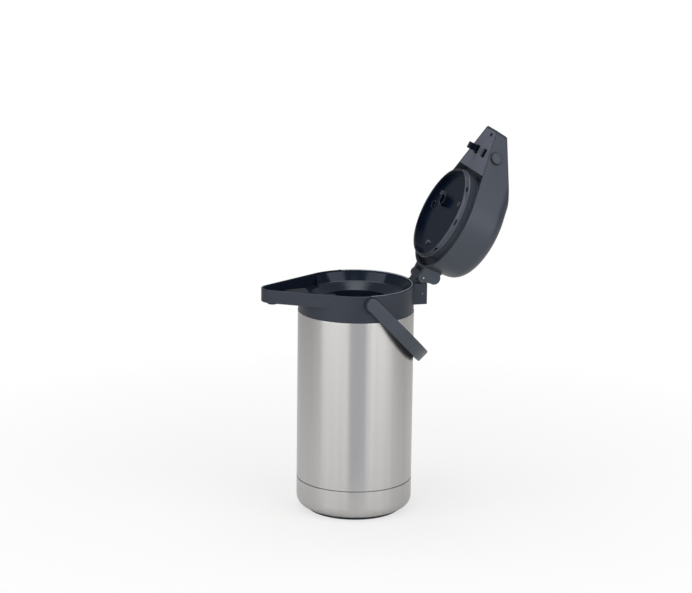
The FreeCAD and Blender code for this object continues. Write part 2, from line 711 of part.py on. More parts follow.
# Pump inside the lid: bellows and spring between the plug and the button's plate
pump_low = plug_z + 9.5
plate_z = lid_z + lid_h - 13
folds = 5
pitch = (plate_z - pump_low) * (1.0 / folds)
crest = button_r - 3
root = button_r - 12
wall = 1.4
outside = [(root, pump_low)]
inside = [(root - wall, pump_low)]
for number in range(folds):
    outside.append((crest, pump_low + pitch * (number + 0.5)))
    inside.append((crest - wall * 1.6, pump_low + pitch * (number + 0.5)))
    outside.append((root, pump_low + pitch * (number + 1)))
    inside.append((root - wall, pump_low + pitch * (number + 1)))
turned("bellows", outside + inside[::-1])

coil = doc.addObject("Part::Helix", "spring_line")
bind(coil, "Height", plate_z - pump_low - 2.4)
coil.setExpression("Pitch", "Height / 5")
coil.Radius = 30
wire_ring = doc.addObject("Part::Circle", "spring_wire")
wire_ring.Radius = 1.1
wire_ring.Placement = FreeCAD.Placement(V(30, 0, 0), FreeCAD.Rotation(V(1, 0, 0), 90))
for piece in (coil, wire_ring):
    piece.setExpression("Placement.Base.z", (pump_low + 1.2).text)
doc.recompute()
spring = doc.addObject("Part::Sweep", "return_spring")
spring.Sections = [wire_ring]
spring.Spine = (coil, ["Edge1"])
spring.Solid = True
spring.Frenet = True
doc.recompute()

turned("button_plate", [
    (4, plate_z), (button_r - 4, plate_z), (button_r - 4, plate_z + 2.5), (4, plate_z + 2.5)])
turned("intake_valve", [
    (0, plate_z - 1.2), (12, plate_z - 1.2), (12, plate_z), (3.9, plate_z), (3.9, plate_z + 2.5),
    (0, plate_z + 2.5)])
button_z = lid_z + lid_h + 5
turned("button", [
    (0, plate_z + 2.5), (button_r - 8, plate_z + 2.5), (button_r - 8, button_z - 6),
    (button_r - 2.5, button_z - 6), (button_r - 2.5, plate_z - 4), (button_r, plate_z - 4),
    (button_r, button_z - 3), (button_r - 3, button_z, 3, 1), (button_r - 7, button_z),
    (0, button_z - 3, 255, -1)])

# Latch: round button, and a bar that carries the hook through the lid's underside
latch_body = latch_cylinder("latch_body", latch_r, -12, 14.6)
latch_dish = latch_cylinder("latch_dish", latch_r - 1.8, 2.0, 3)
latch_button = doc.addObject("Part::Cut", "latch_button")
latch_button.Base = latch_body
latch_button.Tool = latch_dish

slider = new_body("latch_slider")
bar = new_sketch(slider, "latch_bar", "XY_Plane", lid_z + 4)
bar_end = latch_at - latch_way * 12
bar_side = V(-latch_way.y, latch_way.x, 0)
near = bar_end - bar_side * 8
far = bar_end + bar_side * 6.6
outline(bar, [
    (-19.5, -102), (14, -102), (near.x, near.y), (far.x, far.y), (18, -88), (-19.5, -91)])
pad(slider, bar, 9)
blade = new_sketch(slider, "latch_hook", "XZ_Plane", 93)
outline(blade, [
    (-19.5, lid_z + 4), (-19.5, rim_z - 9), (-17, rim_z - 13), (-9.5, rim_z - 13),
    (-9.5, rim_z - 9.5), (-12.5, rim_z - 8), (-12.5, lid_z + 4)])
pad(slider, blade, 9)

latch_spring = doc.addObject("Part::Cylinder", "latch_spring")
latch_spring.Radius = 2.5
latch_spring.Height = 8.5
latch_spring.Placement = FreeCAD.Placement(V(-19.5, -96, 0), FreeCAD.Rotation(V(0, 1, 0), -90))
latch_spring.setExpression("Placement.Base.z", (lid_z + 8).text)
doc.recompute()


# Stored pose: lid thrown open about its hinge pin, handle hanging behind the body

def swing(labels, angle, centre):
    """Turns sub-parts about a line along X through the centre."""
    turn = FreeCAD.Placement(V(), FreeCAD.Rotation(V(1, 0, 0), angle), centre)
    for label in labels:
        part = doc.getObject(label)
        part.Placement = turn.multiply(part.Placement)


in_lid = ["lid_base", "plug_cup", "plug_gasket", "air_valve", "plug_screws", "bellows",
          "return_spring", "button_plate", "intake_valve", "button", "latch_button",
          "latch_slider", "latch_spring", "lid_shell"]
for name in ("return_spring", "latch_spring"):
    moved = doc.addObject("Part::Compound", name + "_set")
    moved.Links = [doc.getObject(name)]
doc.recompute()
swung = [name + "_set" if name in ("return_spring", "latch_spring") else name for name in in_lid]
swing(swung, -open_deg.value, V(0, hinge_y.value, (rim_z + hinge_up).value))
swing(["handle"], -(90 + hang_deg.value), V(0, 0, pivot_z.value))
doc.recompute()

standing = ["foot_disc", "base_cup", "seam_ring", "outer_shell", "vacuum_jacket", "liner",
            "liner_neck", "liner_cushion", "mouth_gasket", "collar", "spout_tube", "spout_nozzle", "stem_head",
            "stem_tube", "hinge_pin", "pivot_bushings", "handle"]
for obj in doc.Objects:
    if "Invalid" in obj.State or "Error" in obj.State:
        raise RuntimeError("failed: %s %s" % (obj.Name, obj.State))
os.makedirs("parts", exist_ok=True)
for label, name in list(zip(standing, standing)) + list(zip(in_lid, swung)):
    shape = doc.getObject(name).Shape
    if shape.isNull() or not shape.isValid() or not shape.Solids:
        raise RuntimeError("bad shape: " + label)
    print(label, len(shape.Solids), round(shape.Volume, 1))
    shape.exportStep("parts/%s.step" % label)
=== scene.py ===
# %% [markdown]
# # A pump pot for hot drinks
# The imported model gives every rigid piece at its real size: the steel body, the pouring collar,
# the pump lid thrown open on its hinge and the handle hanging behind. This lesson dresses those
# pieces with finishes, adds the fine parts that are too small for the engineering model, and
# sets up a camera and plain studio light.

# %% Load the fixed frame
import bpy
import bmesh
import json
import math
from mathutils import Matrix, Vector


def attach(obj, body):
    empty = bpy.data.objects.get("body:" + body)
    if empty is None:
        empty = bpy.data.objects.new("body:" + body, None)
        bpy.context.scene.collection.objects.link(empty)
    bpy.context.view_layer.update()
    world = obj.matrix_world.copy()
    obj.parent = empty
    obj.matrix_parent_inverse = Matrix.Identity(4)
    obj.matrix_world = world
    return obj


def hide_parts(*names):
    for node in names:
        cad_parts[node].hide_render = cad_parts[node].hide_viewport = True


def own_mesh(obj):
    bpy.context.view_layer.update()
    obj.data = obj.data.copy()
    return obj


# Blender counts in metres. Sizes below are in millimetres unless a comment says otherwise.
MM = 0.001
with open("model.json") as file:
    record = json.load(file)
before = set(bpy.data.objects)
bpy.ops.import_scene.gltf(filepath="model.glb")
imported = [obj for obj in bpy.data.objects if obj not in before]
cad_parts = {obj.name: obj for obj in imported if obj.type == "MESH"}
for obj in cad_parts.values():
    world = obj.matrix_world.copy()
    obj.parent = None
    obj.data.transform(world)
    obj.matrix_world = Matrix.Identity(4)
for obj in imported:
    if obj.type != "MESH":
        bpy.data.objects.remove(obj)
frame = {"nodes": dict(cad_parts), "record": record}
nodes = frame["nodes"]
joints = {joint["name"]: joint for joint in frame["record"]["behaviour"]["joints"]}
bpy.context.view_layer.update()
scene = bpy.context.scene
print("pieces in the frame:", len(nodes))

# %% [markdown]
# ## Colours and nodes
# Colours are written as they look on a screen. Blender mixes light in linear numbers, so one
# function turns a hex colour into those. A second small function adds a shader node with its
# settings and links, which keeps each material to a few readable lines.

# %% Helpers for materials
def colour(hex_text):
    """A screen colour such as #c6c4c3 as linear red, green, blue and full cover."""
    parts = [int(hex_text[i:i + 2], 16) / 255 for i in (1, 3, 5)]
    linear = [c / 12.92 if c <= 0.04045 else ((c + 0.055) / 1.055) ** 2.4 for c in parts]
    return (*linear, 1.0)


def node(tree, kind, values=None, links=None, **settings):
    """Adds a node, sets its options, then its input values, and links its inputs."""
    made = tree.nodes.new(kind)
    for name, value in settings.items():
        setattr(made, name, value)
    for name, value in (values or {}).items():
        made.inputs[name].default_value = value
    for name, socket in (links or {}).items():
        tree.links.new(socket, made.inputs[name])
    return made


def new_material(name, values):
    """A material with values on its main shader. Returns it, its tree and that shader."""
    made = bpy.data.materials.new(name)
    made.use_nodes = True
    shader = made.node_tree.nodes["Principled BSDF"]
    for socket, value in values.items():
        shader.inputs[socket].default_value = value
    return made, made.node_tree, shader


print("mid grey as linear numbers:", [round(c, 4) for c in colour("#808080")])

# %% [markdown]
# ## Uneven surfaces
# No real surface has one tone and one gloss all over. Here a noise pattern drives both: it swings
# the base colour between two shares of its brightness, and it varies the roughness while it
# dents the surface a little. Noise mostly stays between 0.3 and 0.7, so that is the range used.
# The pattern's scale is one over the size that its features have on the real thing.

# %% Helpers for uneven surfaces
NOISE_LOW = 0.3
NOISE_HIGH = 0.7


def per_metre(*sizes_mm):
    """The pattern scale along X, Y and Z for features of these sizes."""
    return [1 / (size * MM) for size in sizes_mm]


def vary_tone(tree, shader, pattern, darkest, lightest):
    """Swings the base colour between two shares of its own brightness."""
    base = shader.inputs["Base Color"].default_value
    tone = node(tree, "ShaderNodeValToRGB", links={"Fac": pattern.outputs["Fac"]})
    stops = zip(tone.color_ramp.elements, (NOISE_LOW, NOISE_HIGH), (darkest, lightest))
    for stop, position, share in stops:
        stop.position = position
        stop.color = (*[c * share for c in base[:3]], 1.0)
    tree.links.new(tone.outputs["Color"], shader.inputs["Base Color"])


def vary_gloss(tree, shader, pattern, smoothest, roughest, strength, height_mm):
    """Varies the roughness, and dents the surface by the same pattern."""
    gloss = node(tree, "ShaderNodeMapRange", {
        "From Min": NOISE_LOW, "From Max": NOISE_HIGH, "To Min": smoothest, "To Max": roughest},
        {"Value": pattern.outputs["Fac"]})
    tree.links.new(gloss.outputs["Result"], shader.inputs["Roughness"])
    dents = node(tree, "ShaderNodeBump", {"Strength": strength, "Distance": height_mm * MM},
                 {"Height": pattern.outputs["Fac"]})
    tree.links.new(dents.outputs["Normal"], shader.inputs["Normal"])


print("a 2 mm grain has scale", per_metre(2))

# %% [markdown]
# ## Brushed stainless steel
# The body is rolled stainless sheet, brushed round the pot before it is closed. The scratches run
# level, so a highlight smears up and down and keeps sharp sides: anisotropic shading turned a
# quarter does that without drawing each scratch. The real grit is about 0.1 mm, too fine to
# show here, so the faint lines are drawn 0.45 mm apart. Rolled sheet is also never quite even,
# so broad upright streaks darken it by up to 8 percent.

# %% Make the steel finishes
SCRATCH_LONG = 111.0
SCRATCH_HEIGHT = 0.01
SCRATCH_GLOSS = 0.0015
STREAK_WIDE = 9.0
STREAK_LONG = 500.0
STREAK_SHADE = 0.92


def brushed_steel(name, hex_text, roughness, line_mm, depth):
    """Steel with level scratches line_mm apart and broad upright streaks."""
    made, tree, shader = new_material(name, {
        "Base Color": colour(hex_text), "Metallic": 1.0, "Roughness": roughness,
        "Anisotropic": 0.75, "Anisotropic Rotation": 0.25})
    place = node(tree, "ShaderNodeTexCoord")
    level = node(tree, "ShaderNodeMapping", {"Scale": per_metre(SCRATCH_LONG, SCRATCH_LONG, line_mm)},
                 {"Vector": place.outputs["Object"]})
    lines = node(tree, "ShaderNodeTexNoise", {"Scale": 1.0, "Detail": 4.0, "Roughness": 0.6},
                 {"Vector": level.outputs["Vector"]})
    vary_gloss(tree, shader, lines, roughness - SCRATCH_GLOSS, roughness + SCRATCH_GLOSS,
               depth, SCRATCH_HEIGHT)
    upright = node(tree, "ShaderNodeMapping", {"Scale": per_metre(STREAK_WIDE, STREAK_WIDE, STREAK_LONG)},
                   {"Vector": place.outputs["Object"]})
    streaks = node(tree, "ShaderNodeTexNoise", {"Scale": 1.0, "Detail": 2.0},
                   {"Vector": upright.outputs["Vector"]})
    vary_tone(tree, shader, streaks, STREAK_SHADE, 1.0)
    return made


# Body: a soft grey that smears each light into an upright band.
steel = brushed_steel("brushed_stainless", "#c6c4c3", roughness=0.27, line_mm=0.45, depth=0.006)
# Vessel: spun on a lathe, so its rings are coarser; its base colour is darker than the body's.
liner_steel = brushed_steel("spun_stainless_liner", "#a9a8a6", roughness=0.24, line_mm=0.8, depth=0.15)
# Pin, screws and springs: ground bright, with one small glint on each.
pin_steel = brushed_steel("ground_steel_pin", "#b4b5b8", roughness=0.26, line_mm=0.4, depth=0.1)
print("steel finishes:", steel.name, liner_steel.name, pin_steel.name)

# %% [markdown]
# ## Moulded plastics and rubbers
# The outside mouldings are charcoal ABS with a fine spark-eroded grain from the mould. Pipes and
# the plug are smoother polypropylene, nearly black. Flaps and seals are silicone, and the foot and
# bellows are black rubber. Each gets its grain as bump and a slow change in tone of a few
# percent, as moulded parts have. The highlights are tinted a little blue, like a sky light.
# The index of refraction sets how much light the surface throws back. It starts from 1.53 for ABS
# and is then matched to what each piece shows.

# %% Make the plastic and rubber finishes
GRAIN_HEIGHT = 0.06
GRAIN_SMOOTHER = 0.04
GRAIN_ROUGHER = 0.05
SLOW_TONE = 55.6
TONE_SWING = 0.06
COOL_TINT = "#e2edff"


def moulded(name, hex_text, roughness, grain_mm, grain, ior=1.53):
    """Plastic or rubber with a mould's grain of grain_mm and a slow change in tone."""
    made, tree, shader = new_material(name, {
        "Base Color": colour(hex_text), "Roughness": roughness, "IOR": ior,
        "Specular Tint": colour(COOL_TINT)})
    place = node(tree, "ShaderNodeTexCoord")
    pits = node(tree, "ShaderNodeTexNoise", {"Scale": per_metre(grain_mm)[0], "Detail": 3.0},
                {"Vector": place.outputs["Object"]})
    slow = node(tree, "ShaderNodeTexNoise", {"Scale": per_metre(SLOW_TONE)[0], "Detail": 2.0},
                {"Vector": place.outputs["Object"]})
    vary_tone(tree, shader, slow, 1 - TONE_SWING, 1 + TONE_SWING)
    vary_gloss(tree, shader, pits, roughness - GRAIN_SMOOTHER, roughness + GRAIN_ROUGHER,
               grain, GRAIN_HEIGHT)
    return made


# Lid, button and handle: a satin grey that breaks up highlights.
charcoal = moulded("charcoal_abs_moulded", "#353940", roughness=0.38, grain_mm=0.7, grain=0.22)
# Collar: much the same grey outside; in the next steps it is polished inside and painted near-black there
# as painted shade.
collar_abs = moulded("charcoal_abs_polished_inside", "#2e3139", roughness=0.36, grain_mm=0.7,
                     grain=0.20, ior=1.38)
# Plate under the lid: smoother, and painted paler than the lid as a painted sheen.
lid_plate_painted_sheen = moulded("charcoal_abs_smooth", "#5a5d69", roughness=0.30, grain_mm=1.0, grain=0.10)
# Pipes, nozzle and tubes: nearly black, with clear reflections.
black_gloss = moulded("black_polypropylene", "#0d1420", roughness=0.22, grain_mm=1.2, grain=0.05,
                      ior=1.40)
# Flaps and the mouth's seal: dull black with a faint waxy shine.
silicone = moulded("black_silicone", "#1b1d20", roughness=0.45, grain_mm=1.0, grain=0.15, ior=1.41)
# The plug's seal: grey silicone made as pale as the plug's wall band, as painted reflection, with a
# softer shine than the plug.
grey_silicone = moulded("grey_silicone", "#4d515a", roughness=0.32, grain_mm=1.0, grain=0.10, ior=1.41)
# Foot and bellows: matt black that takes almost no highlight.
rubber = moulded("black_rubber", "#17181a", roughness=0.62, grain_mm=0.9, grain=0.35)
plastics = (charcoal, collar_abs, lid_plate_painted_sheen, black_gloss, silicone, grey_silicone, rubber)
print("plastics and rubbers:", [finish.name for finish in plastics])

# %% [markdown]
# ## The collar's polished inside, with painted shade
# The mould that makes the collar is grained outside but polished inside, so that drops run off.
# Inside, its colour is also painted nearly black, as painted shade for the dim funnel, so the same
# piece looks grey outside and black inside. It could be cut into two pieces, but one mesh with a
# mask keeps the real moulding whole. A wall inside the funnel faces back to the pot's axis, so its
# normal and its place point opposite ways: their dot product tells the two sides apart, and the
# floor of the funnel is the part that faces up.

# %% Find the inside of the collar
RIM_HEIGHT = 312.8
RIM_ROUND = 0.6
HINGE_FRONT = 78.0
# A wall counts as inside when its distance from the axis, measured along its normal, is below this.
INWARD = -2.0
# A floor counts as one when its normal's upright share is above this.
UPWARD = 0.4
# Multiplying a place by this drops its height.
LEVEL_ONLY = (1, 1, 0)
tree = collar_abs.node_tree
place = node(tree, "ShaderNodeTexCoord")
spot = node(tree, "ShaderNodeSeparateXYZ", links={"Vector": place.outputs["Object"]})
turn = node(tree, "ShaderNodeSeparateXYZ", links={"Vector": place.outputs["Normal"]})
flat = node(tree, "ShaderNodeVectorMath", {1: LEVEL_ONLY}, {0: place.outputs["Object"]},
            operation="MULTIPLY")
facing = node(tree, "ShaderNodeVectorMath", links={
    0: flat.outputs["Vector"], 1: place.outputs["Normal"]}, operation="DOT_PRODUCT")
inward = node(tree, "ShaderNodeMath", {1: INWARD * MM}, {0: facing.outputs["Value"]},
              operation="LESS_THAN")
upward = node(tree, "ShaderNodeMath", {1: UPWARD}, {0: turn.outputs["Z"]}, operation="GREATER_THAN")
below_rim = node(tree, "ShaderNodeMath", {1: (RIM_HEIGHT - RIM_ROUND) * MM}, {0: spot.outputs["Z"]},
                 operation="LESS_THAN")
before_hinge = node(tree, "ShaderNodeMath", {1: HINGE_FRONT * MM}, {0: spot.outputs["Y"]},
                    operation="LESS_THAN")
either = node(tree, "ShaderNodeMath", links={0: inward.outputs[0], 1: upward.outputs[0]},
              operation="MAXIMUM")
lower = node(tree, "ShaderNodeMath", links={0: either.outputs[0], 1: below_rim.outputs[0]},
             operation="MULTIPLY")
inside = node(tree, "ShaderNodeMath", links={0: lower.outputs[0], 1: before_hinge.outputs[0]},
              operation="MULTIPLY")
print("nodes in the collar's finish:", len(tree.nodes))

# %% [markdown]
# ## Paint through a mask
# A mask is a number that is 1 on the part to change and 0 elsewhere. A mix node then takes the new
# colour where the mask is 1 and the finish's own colour where it is 0. The mix node has one set
# of sockets for numbers and another for colours, so the ones used here are named first.

# %% Polish the inside of the collar and paint its shade
NUMBER_A, NUMBER_B, NUMBER_RESULT = 2, 3, 0
COLOUR_A, COLOUR_B, COLOUR_RESULT = 6, 7, 2
POLISHED = 0.10


def repaint(finish, mask, hex_text):
    """Gives a finish another colour where the mask is 1."""
    tree = finish.node_tree
    base = tree.nodes["Principled BSDF"].inputs["Base Color"]
    tone = node(tree, "ShaderNodeMix", {COLOUR_B: colour(hex_text)},
                {0: mask.outputs[0], COLOUR_A: base.links[0].from_socket}, data_type="RGBA")
    tree.links.new(tone.outputs[COLOUR_RESULT], base)


# Painted shade: the funnel's inside is darkened nearly to black.
repaint(collar_abs, inside, "#181f2b")
roughness = tree.nodes["Principled BSDF"].inputs["Roughness"]
polish = node(tree, "ShaderNodeMix", {NUMBER_B: POLISHED},
              {0: inside.outputs[0], NUMBER_A: roughness.links[0].from_socket})
tree.links.new(polish.outputs[NUMBER_RESULT], roughness)
print("polished inside:", collar_abs.name)

# %% [markdown]
# ## Where the lid stands
# The photographed pot stands open, and the frame holds the lid that way. Its small parts are
# easier to draw with the lid shut, where everything on it is upright. One matrix then swings
# them open about the hinge, by the angle that the frame's own joint gives.

# %% Swing open about the hinge
hinge = Vector(joints["lid_hinge"]["pos_m"])
swing = math.radians(joints["lid_hinge"]["range_deg"][1])
opened = Matrix.Translation(hinge) @ Matrix.Rotation(-swing, 4, "X") @ Matrix.Translation(-hinge)
print("lid swings about:", [round(c, 4) for c in hinge])

# %% [markdown]
# ## The plug's wall and its painted reflection
# The flat end of the plug is polished nearly black, while its wall, which seals in the funnel, is
# painted a paler grey band as a painted reflection. One mesh carries both, so the shader measures
# how far a point is from the plug's own axis. The piece is drawn in the open lid, and a mapping
# node turns its places back to the shut lid, where that axis is upright.

# %% Give the plug its finish and its painted reflection band
PLUG_R = 63.5
WALL_REACH = 0.4
# Plug: a black mirror on its flat end, and a pale band round its wall that is painted reflection.
plug_finish = moulded("black_polypropylene_plug", "#0b1424", roughness=0.22, grain_mm=1.2, grain=0.05,
                      ior=1.33)
tree = plug_finish.node_tree
place = node(tree, "ShaderNodeTexCoord")
shut = node(tree, "ShaderNodeMapping", {
    "Location": opened.to_translation(), "Rotation": opened.to_euler()},
    {"Vector": place.outputs["Object"]}, vector_type="TEXTURE")
flat = node(tree, "ShaderNodeVectorMath", {1: LEVEL_ONLY}, {0: shut.outputs["Vector"]},
            operation="MULTIPLY")
from_axis = node(tree, "ShaderNodeVectorMath", links={0: flat.outputs["Vector"]}, operation="LENGTH")
painted_reflection_wall = node(tree, "ShaderNodeMath", {1: PLUG_R * MM, 2: WALL_REACH * MM},
               {0: from_axis.outputs["Value"]}, operation="COMPARE")
# Painted reflection: the plug's wall is made a paler grey.
repaint(plug_finish, painted_reflection_wall, "#4d515a")
print("plug finish:", plug_finish.name)

# %% [markdown]
# ## Dress the pieces
# Each piece of the frame keeps its own mesh and takes the finish of its real material. The frame
# names a material slot for every piece. Four pieces differ from the rest of their slot, so they
# are named one by one.

# %% Give every piece its finish
finishes = {
    "steel": steel, "liner_steel": liner_steel, "pin_steel": pin_steel, "charcoal": charcoal,
    "black_plastic": black_gloss, "rubber": rubber, "silicone": silicone}
own_finishes = {
    "collar": collar_abs, "lid_base": lid_plate_painted_sheen, "plug_cup": plug_finish,
    "plug_gasket": grey_silicone}
for entry in frame["record"]["subparts"]:
    materials = nodes[entry["node"]].data.materials
    materials.clear()
    materials.append(own_finishes.get(entry["node"], finishes[entry["material_slot"]]))

# %% [markdown]
# ## Turned detail
# Beads, lips and washers are rings: one small profile carried round an axis. A screw modifier could
# turn the profile too, but its last step has to be merged with its first. This function
# closes the last step on the first itself, so there is no seam to mend, and a matrix puts the
# ring where it belongs. A second function hands each finished piece to its body and slot.

# %% Helpers for added pieces
def keep(name, mesh, body, finish):
    """Makes a mesh a piece that moves with a body."""
    mesh.name = name
    mesh.materials.clear()
    mesh.materials.append(finish)
    made = bpy.data.objects.new(name, mesh)
    scene.collection.objects.link(made)
    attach(made, body)
    return made


def to_mesh(work):
    """Points the faces of a worked shape outwards and turns it into a mesh."""
    bmesh.ops.recalc_face_normals(work, faces=work.faces)
    mesh = bpy.data.meshes.new("shape")
    work.to_mesh(mesh)
    work.free()
    return mesh


def ring(profile, steps, where):
    """Spins a closed profile of (radius, height) points round Z, then places it."""
    work = bmesh.new()
    rows = []
    for step in range(steps):
        angle = 2 * math.pi * step / steps
        rows.append([work.verts.new((r * MM * math.cos(angle), r * MM * math.sin(angle), h * MM))
                     for r, h in profile])
    count = len(profile)
    for row, after in zip(rows, rows[1:] + rows[:1]):
        for k in range(count):
            face = work.faces.new((row[k], after[k], after[(k + 1) % count], row[(k + 1) % count]))
            face.smooth = True
    mesh = to_mesh(work)
    mesh.transform(where)
    return mesh


def round_section(centre_r, centre_h, radius, points=10):
    """A small circle as a ring's profile."""
    turns = [2 * math.pi * k / points for k in range(points)]
    return [(centre_r + radius * math.cos(turn), centre_h + radius * math.sin(turn)) for turn in turns]


at_origin = Matrix.Identity(4)
print("points in a bead's section:", len(round_section(1, 0, 0.1)))

# %% [markdown]
# ## Beads on the body
# The steel tube is rolled over at its top, which leaves a thin bright bead under the collar. The
# funnel ends in a rounded lip round the vessel's mouth. Both are rings with a round section.

# %% Beads and lips
BODY_R = 78.0
SHELL_TOP = 276.5
BEAD_ROUND = 0.6
BEAD_INWARD = 0.45
BEAD_BELOW_TOP = 0.2
MOUTH_R = 45.0
MOUTH_HEIGHT = 290.2
MOUTH_ROUND = 0.8
MOUTH_OUTWARD = 0.9
bead = round_section(BODY_R - BEAD_INWARD, SHELL_TOP - BEAD_BELOW_TOP, BEAD_ROUND)
keep("steel_top_bead", ring(bead, steps=128, where=at_origin), "pot", steel)
lip = round_section(MOUTH_R + MOUTH_OUTWARD, MOUTH_HEIGHT, MOUTH_ROUND)
keep("mouth_lip", ring(lip, steps=96, where=at_origin), "pot", black_gloss)
print("beads: steel_top_bead, mouth_lip")

# %% [markdown]
# ## Hinge ends
# Each end of the hinge pin is burred over a small washer, so only a bright dot shows, and the
# bracket carries one bright pip. They are rings too, turned to face sideways.

# %% Hinge washers and bracket pip
PIN_END = 19.05
WASHER_BORE = 1.1
WASHER_FACE = 3.3
WASHER_EDGE = 3.5
WASHER_HALF = 0.25
sideways = Matrix.Rotation(math.radians(90), 4, "Y")
washer = [(WASHER_BORE, -WASHER_HALF), (WASHER_FACE, -WASHER_HALF), (WASHER_EDGE, 0.0),
          (WASHER_FACE, WASHER_HALF), (WASHER_BORE, WASHER_HALF)]
for name, side in (("pin_washer_right", 1), ("pin_washer_left", -1)):
    where = Matrix.Translation(hinge + Vector((side * PIN_END * MM, 0, 0))) @ sideways
    keep(name, ring(washer, steps=32, where=where), "pot", charcoal)
PIP_SPOT = (18, 87.3, 297.3)
# A low dome, from its foot in the bracket up to a top that all but closes on the axis.
pip = [(0.05, -0.3), (0.9, -0.3), (0.8, 0.15), (0.45, 0.4), (0.05, 0.48)]
where = Matrix.Translation(Vector(PIP_SPOT) * MM) @ sideways
keep("bracket_pip", ring(pip, steps=20, where=where), "pot", pin_steel)
print("hinge details: pin_washer_right, pin_washer_left, bracket_pip")

# %% [markdown]
# ## Tubes in the plug and the latch's ring
# Two tubes stand in the plug and end in rounded lips. A black rubber ring round the latch button on
# the lid's side wall is painted shade for the gap round the button. That wall is turned to the
# nose's taper, so the ring is turned to match.

# %% Tube lips and the latch's painted shade ring
PLUG_LOW = 301.3
LIP_ROUND = 1.2
# Each tube: its name, its place across the plug, its radius and how far it ends above the plug's foot.
tubes = (("air_tube_lip", (-12, -16), 7.75, 0.9), ("vent_lip", (-48, -3), 5.3, 6.6))
for name, spot, radius, above in tubes:
    where = opened @ Matrix.Translation(Vector((*spot, PLUG_LOW + above)) * MM)
    lip = round_section(radius, 0, LIP_ROUND)
    keep(name, ring(lip, steps=40, where=where), "lid", black_gloss)
LATCH_TURN = math.radians(-27)
LATCH_SEAT = (36.6, -98.5, 324.4)
SHADE_RING_BORE = 7.7
SHADE_RING_OUTSIDE = 9.0
SHADE_RING_FOOT = -0.6
SHADE_RING_TOP = 2.1
SHADE_RING_LEAN = 0.1
SHADE_RING_EASE = 0.5
latch_way = Vector((math.cos(LATCH_TURN), math.sin(LATCH_TURN), 0))
latch_face = latch_way.to_track_quat("Z", "Y").to_matrix().to_4x4()
where = opened @ Matrix.Translation(Vector(LATCH_SEAT) * MM) @ latch_face
# The outside leans in a little, then rounds over to the top.
shade_ring = [(SHADE_RING_BORE, SHADE_RING_FOOT), (SHADE_RING_OUTSIDE, SHADE_RING_FOOT),
         (SHADE_RING_OUTSIDE - SHADE_RING_LEAN, SHADE_RING_TOP - SHADE_RING_EASE),
         (SHADE_RING_OUTSIDE - SHADE_RING_EASE, SHADE_RING_TOP), (SHADE_RING_BORE, SHADE_RING_TOP)]
# Painted shade: this black ring stands in for the shadowed gap round the latch button.
keep("latch_bezel", ring(shade_ring, steps=48, where=where), "lid", rubber)
print("lid details: air_tube_lip, vent_lip, latch_bezel")

# %% [markdown]
# ## Geometry Nodes as a workshop
# What repeats or follows a path is grown by a node tree. Its sizes are named inputs, so one tree
# can make several pieces. The result is turned into a plain mesh and the object that carried
# the tree is thrown away, because the export keeps neither modifiers nor instances.

# %% Helpers for node trees
def new_tree(name, inputs):
    """An empty tree with named inputs. Returns it with the node that gives their values."""
    tree = bpy.data.node_groups.new(name, "GeometryNodeTree")
    tree.is_modifier = True
    tree.interface.new_socket("Geometry", in_out="OUTPUT", socket_type="NodeSocketGeometry")
    for label, kind in inputs.items():
        tree.interface.new_socket(label, in_out="INPUT", socket_type=kind)
    return tree, node(tree, "NodeGroupInput")


def end_tree(tree, given, shape):
    """Ends a tree in real geometry with its finish."""
    real = node(tree, "GeometryNodeRealizeInstances", links={"Geometry": shape})
    finished = node(tree, "GeometryNodeSetMaterial", links={
        "Geometry": real.outputs["Geometry"], "Material": given.outputs["Finish"]})
    node(tree, "NodeGroupOutput", links={"Geometry": finished.outputs["Geometry"]})


def grow(tree, values):
    """Runs a tree once and returns its result as a plain mesh."""
    carrier = bpy.data.objects.new(tree.name, bpy.data.meshes.new(tree.name))
    scene.collection.objects.link(carrier)
    modifier = carrier.modifiers.new(tree.name, "NODES")
    modifier.node_group = tree
    for item in tree.interface.items_tree:
        if item.in_out == "INPUT" and item.name in values:
            modifier[item.identifier] = values[item.name]
    bpy.context.view_layer.update()
    live = carrier.evaluated_get(bpy.context.evaluated_depsgraph_get())
    mesh = bpy.data.meshes.new_from_object(live)
    bpy.data.objects.remove(carrier)
    return mesh


# The kinds of input that the trees below have.
COUNT = "NodeSocketInt"
SIZE = "NodeSocketFloat"
FINISH = "NodeSocketMaterial"
print("kinds of input:", COUNT, SIZE, FINISH)

# %% [markdown]
# ## Cross slots in the plug's screws
# Three screws hold the plug. A cross slot is the same few faces each time, so it is drawn once, as
# two crossed bars with sloping ends, and a tree puts one on each point of a circle. A slot is a
# hollow in shade, so the bars lie nearly flush in matt black as painted shade for it.

# %% One cross slot
SLOT_REACH = 1.9
SLOT_HALF = 0.4
SLOT_DEEP = 0.3
SLOT_TAPER = 0.8
work = bmesh.new()
for angle in (0, 90):
    bar = bmesh.ops.create_cube(work, size=1.0)["verts"]
    bmesh.ops.scale(work, verts=bar, vec=(2 * SLOT_REACH * MM, 2 * SLOT_HALF * MM, SLOT_DEEP * MM))
    for vert in bar:
        if vert.co.z > 0:
            vert.co.x *= SLOT_TAPER
    bmesh.ops.rotate(work, verts=bar, cent=(0, 0, 0),
                     matrix=Matrix.Rotation(math.radians(angle), 3, "Z"))
slot_shape = bpy.data.objects.new("slot_shape", to_mesh(work))
scene.collection.objects.link(slot_shape)
print("faces of one slot:", len(slot_shape.data.polygons))

# %% [markdown]
# ## A slot on each screw
# A mesh circle with as many corners as there are screws gives the points, and the slot is put on
# each of them. Turning the circle a quarter brings its corners over the screws.

